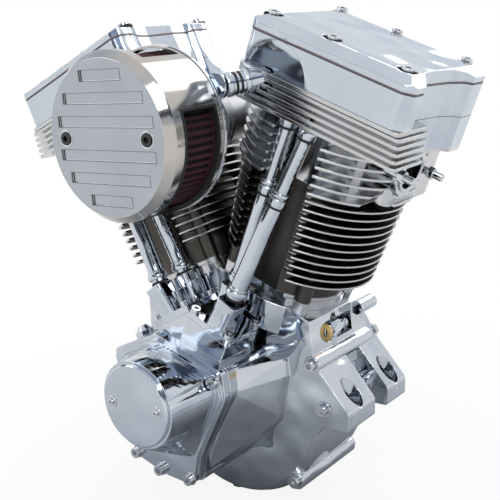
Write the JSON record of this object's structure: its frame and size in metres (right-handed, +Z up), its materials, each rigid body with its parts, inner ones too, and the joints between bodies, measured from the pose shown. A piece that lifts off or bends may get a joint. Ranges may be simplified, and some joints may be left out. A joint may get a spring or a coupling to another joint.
{
  "type": "motorcycle engine",
  "caption": "Air-cooled V-twin motorcycle engine with pushrod valve gear, round air cleaner, finned cylinders, cone-nosed gearcase and frame mounting lugs",
  "frame": {"origin": "centre of the four frame mounting bolt holes, on the underside of the mounting lugs", "axes": "+X is the front of the motorcycle, +Y its left side with the sprocket shaft, +Z up; the crankshaft's centre is 12 mm above the origin, and the cylinders' common plane is 10.5 mm to its right"},
  "size_m": [0.5226, 0.3278, 0.5491],
  "materials": {
    "polished_case": "polished",
    "chrome": "polished",
    "rocker_chrome": "polished",
    "billet": "brushed",
    "barrel": "cast, polished fin edges",
    "head": "cast, polished fin edges",
    "bright_bolts": "polished",
    "dark_steel": "oiled",
    "black_screws": "black",
    "rubber": "matte",
    "cast_alloy": "cast",
    "brass": "machined",
    "filter": "pleated, oiled",
    "ceramic": "glazed",
    "steel": "machined",
    "piston_alloy": "machined"
  },
  "bodies": {
    "engine": {"crankcase_left": "polished_case", "crankcase_right": "polished_case", "crankcase_bolts": "bright_bolts", "crankcase_fittings": "chrome", "gearcase_cover": "chrome", "cover_screws": "bright_bolts", "timer_cover": "chrome", "front_cylinder": "barrel", "rear_cylinder": "barrel", "front_head": "head", "rear_head": "head", "cylinder_studs": "dark_steel", "front_rocker_box": "rocker_chrome", "rear_rocker_box": "rocker_chrome", "front_rocker_cover": "rocker_chrome", "rear_rocker_cover": "rocker_chrome", "rocker_cover_bolts": "bright_bolts", "front_tappet_block": "chrome", "rear_tappet_block": "chrome", "pushrod_tubes_upper": "chrome", "pushrod_tubes_lower": "chrome", "pushrod_tube_seals": "rubber", "intake_manifold": "cast_alloy", "carburettor_body": "cast_alloy", "float_bowl": "cast_alloy", "air_cleaner_backplate": "chrome", "air_filter": "filter", "air_cleaner_cover": "billet", "air_cleaner_screws": "black_screws", "breather_tubes": "chrome", "spark_plugs": "ceramic", "exhaust_studs": "bright_bolts", "oil_pump": "polished_case", "crankpin": "steel", "front_connecting_rod": "steel", "rear_connecting_rod": "steel", "front_piston": "piston_alloy", "rear_piston": "piston_alloy", "main_bearings": "steel", "rocker_shafts": "steel", "valve_springs": "dark_steel"},
    "crank": {"flywheels": "steel", "sprocket_shaft": "steel", "pinion_shaft": "steel"},
    "cam": {"camshaft": "steel", "cam_gear": "steel", "timer_rotor": "steel"},
    "throttle": {"throttle_plate": "brass"},
    "front_intake_lifter": {"front_intake_tappet": "steel"},
    "front_intake_rocker_arm": {"front_intake_rocker": "steel"},
    "front_intake_poppet": {"front_intake_valve": "steel"},
    "front_exhaust_lifter": {"front_exhaust_tappet": "steel"},
    "front_exhaust_rocker_arm": {"front_exhaust_rocker": "steel"},
    "front_exhaust_poppet": {"front_exhaust_valve": "steel"},
    "rear_intake_lifter": {"rear_intake_tappet": "steel"},
    "rear_intake_rocker_arm": {"rear_intake_rocker": "steel"},
    "rear_intake_poppet": {"rear_intake_valve": "steel"},
    "rear_exhaust_lifter": {"rear_exhaust_tappet": "steel"},
    "rear_exhaust_rocker_arm": {"rear_exhaust_rocker": "steel"},
    "rear_exhaust_poppet": {"rear_exhaust_valve": "steel"}
  },
  "joints": [
    {"name": "crank_spin", "type": "hinge", "parent": "engine", "child": "crank", "pos_m": [0, -0.0105, 0.012], "axis": [0, 1, 0], "continuous": true},
    {"name": "cam_spin", "type": "hinge", "parent": "engine", "child": "cam", "pos_m": [0, -0.0105, 0.057], "axis": [0, 1, 0], "continuous": true},
    {"name": "front_intake_lift", "type": "slide", "parent": "engine", "child": "front_intake_lifter", "axis": [0.3907, 0, 0.9205], "range_m": [0, 0.008]},
    {"name": "front_intake_rock", "type": "hinge", "parent": "engine", "child": "front_intake_rocker_arm", "pos_m": [0.103, -0.0545, 0.38405], "axis": [-0.989, 0, 0.1478], "range_deg": [0, 16.37]},
    {"name": "front_intake_open", "type": "slide", "parent": "engine", "child": "front_intake_poppet", "axis": [-0.1478, 0, -0.989], "range_m": [0, 0.01257], "deforming": ["valve_springs"]},
    {"name": "front_exhaust_lift", "type": "slide", "parent": "engine", "child": "front_exhaust_lifter", "axis": [0.5446, 0, 0.8387], "range_m": [0, 0.008]},
    {"name": "front_exhaust_rock", "type": "hinge", "parent": "engine", "child": "front_exhaust_rocker_arm", "pos_m": [0.19303, -0.0545, 0.34676], "axis": [-0.8039, 0, 0.5948], "range_deg": [0, 16.37]},
    {"name": "front_exhaust_open", "type": "slide", "parent": "engine", "child": "front_exhaust_poppet", "axis": [-0.5948, 0, -0.8039], "range_m": [0, 0.01257]},
    {"name": "rear_intake_lift", "type": "slide", "parent": "engine", "child": "rear_intake_lifter", "axis": [-0.3907, 0, 0.9205], "range_m": [0, 0.008]},
    {"name": "rear_intake_rock", "type": "hinge", "parent": "engine", "child": "rear_intake_rocker_arm", "pos_m": [-0.103, -0.0545, 0.38405], "axis": [-0.989, 0, -0.1478], "range_deg": [0, 16.37]},
    {"name": "rear_intake_open", "type": "slide", "parent": "engine", "child": "rear_intake_poppet", "axis": [0.1478, 0, -0.989], "range_m": [0, 0.01257]},
    {"name": "rear_exhaust_lift", "type": "slide", "parent": "engine", "child": "rear_exhaust_lifter", "axis": [-0.5446, 0, 0.8387], "range_m": [0, 0.008]},
    {"name": "rear_exhaust_rock", "type": "hinge", "parent": "engine", "child": "rear_exhaust_rocker_arm", "pos_m": [-0.19303, -0.0545, 0.34676], "axis": [-0.8039, 0, -0.5948], "range_deg": [0, 16.37]},
    {"name": "rear_exhaust_open", "type": "slide", "parent": "engine", "child": "rear_exhaust_poppet", "axis": [0.5948, 0, -0.8039], "range_m": [0, 0.01257]},
    {"name": "throttle_turn", "type": "hinge", "parent": "engine", "child": "throttle", "pos_m": [0, -0.0865, 0.325], "axis": [0, 0, 1], "range_deg": [0, 80]}
  ],
  "couplings": [
    {"joint": "cam_spin", "follows": "crank_spin", "ratio": -0.5},
    {"joint": "front_intake_rock", "follows": "front_intake_lift", "rad_per_m": 35.714},
    {"joint": "front_intake_open", "follows": "front_intake_lift", "ratio": 1.5714},
    {"joint": "front_exhaust_rock", "follows": "front_exhaust_lift", "rad_per_m": 35.714},
    {"joint": "front_exhaust_open", "follows": "front_exhaust_lift", "ratio": 1.5714},
    {"joint": "rear_intake_rock", "follows": "rear_intake_lift", "rad_per_m": 35.714},
    {"joint": "rear_intake_open", "follows": "rear_intake_lift", "ratio": 1.5714},
    {"joint": "rear_exhaust_rock", "follows": "rear_exhaust_lift", "rad_per_m": 35.714},
    {"joint": "rear_exhaust_open", "follows": "rear_exhaust_lift", "ratio": 1.5714}
  ]
}
